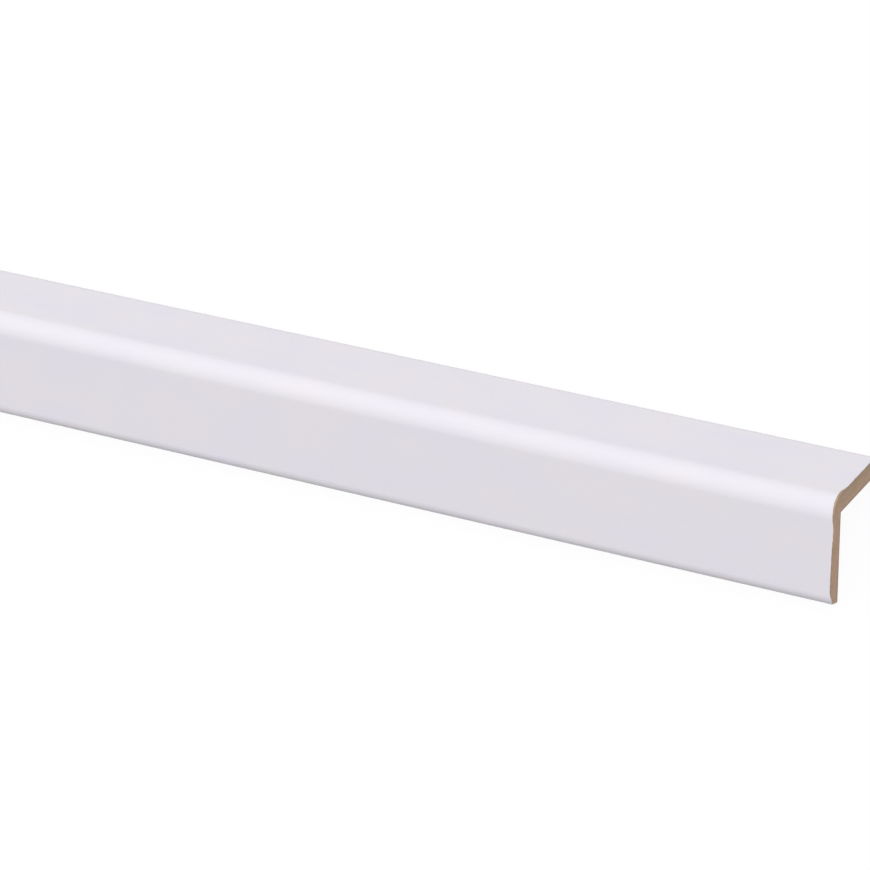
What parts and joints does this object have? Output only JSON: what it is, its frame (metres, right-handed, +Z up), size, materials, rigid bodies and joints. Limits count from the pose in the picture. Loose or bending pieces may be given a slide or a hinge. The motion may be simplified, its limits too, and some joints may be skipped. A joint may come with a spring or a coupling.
{
  "type": "corner guard moulding",
  "caption": "Long white corner guard moulding of fibreboard, an equal-legged angle section with a rounded nose, that covers and protects the outer corner of a wall.",
  "frame": {"origin": "on the floor under the middle of the stick, at the centre of the bounding box's bottom face", "axes": "+X along the stick, +Z up from the floor to the crest of the nose, +Y across the stick from one leg to the other"},
  "size_m": [2.4, 0.036, 0.0213],
  "materials": {
    "white_finish": "satin"
  },
  "bodies": {
    "root": {"corner_moulding": "white_finish"}
  },
  "joints": []
}
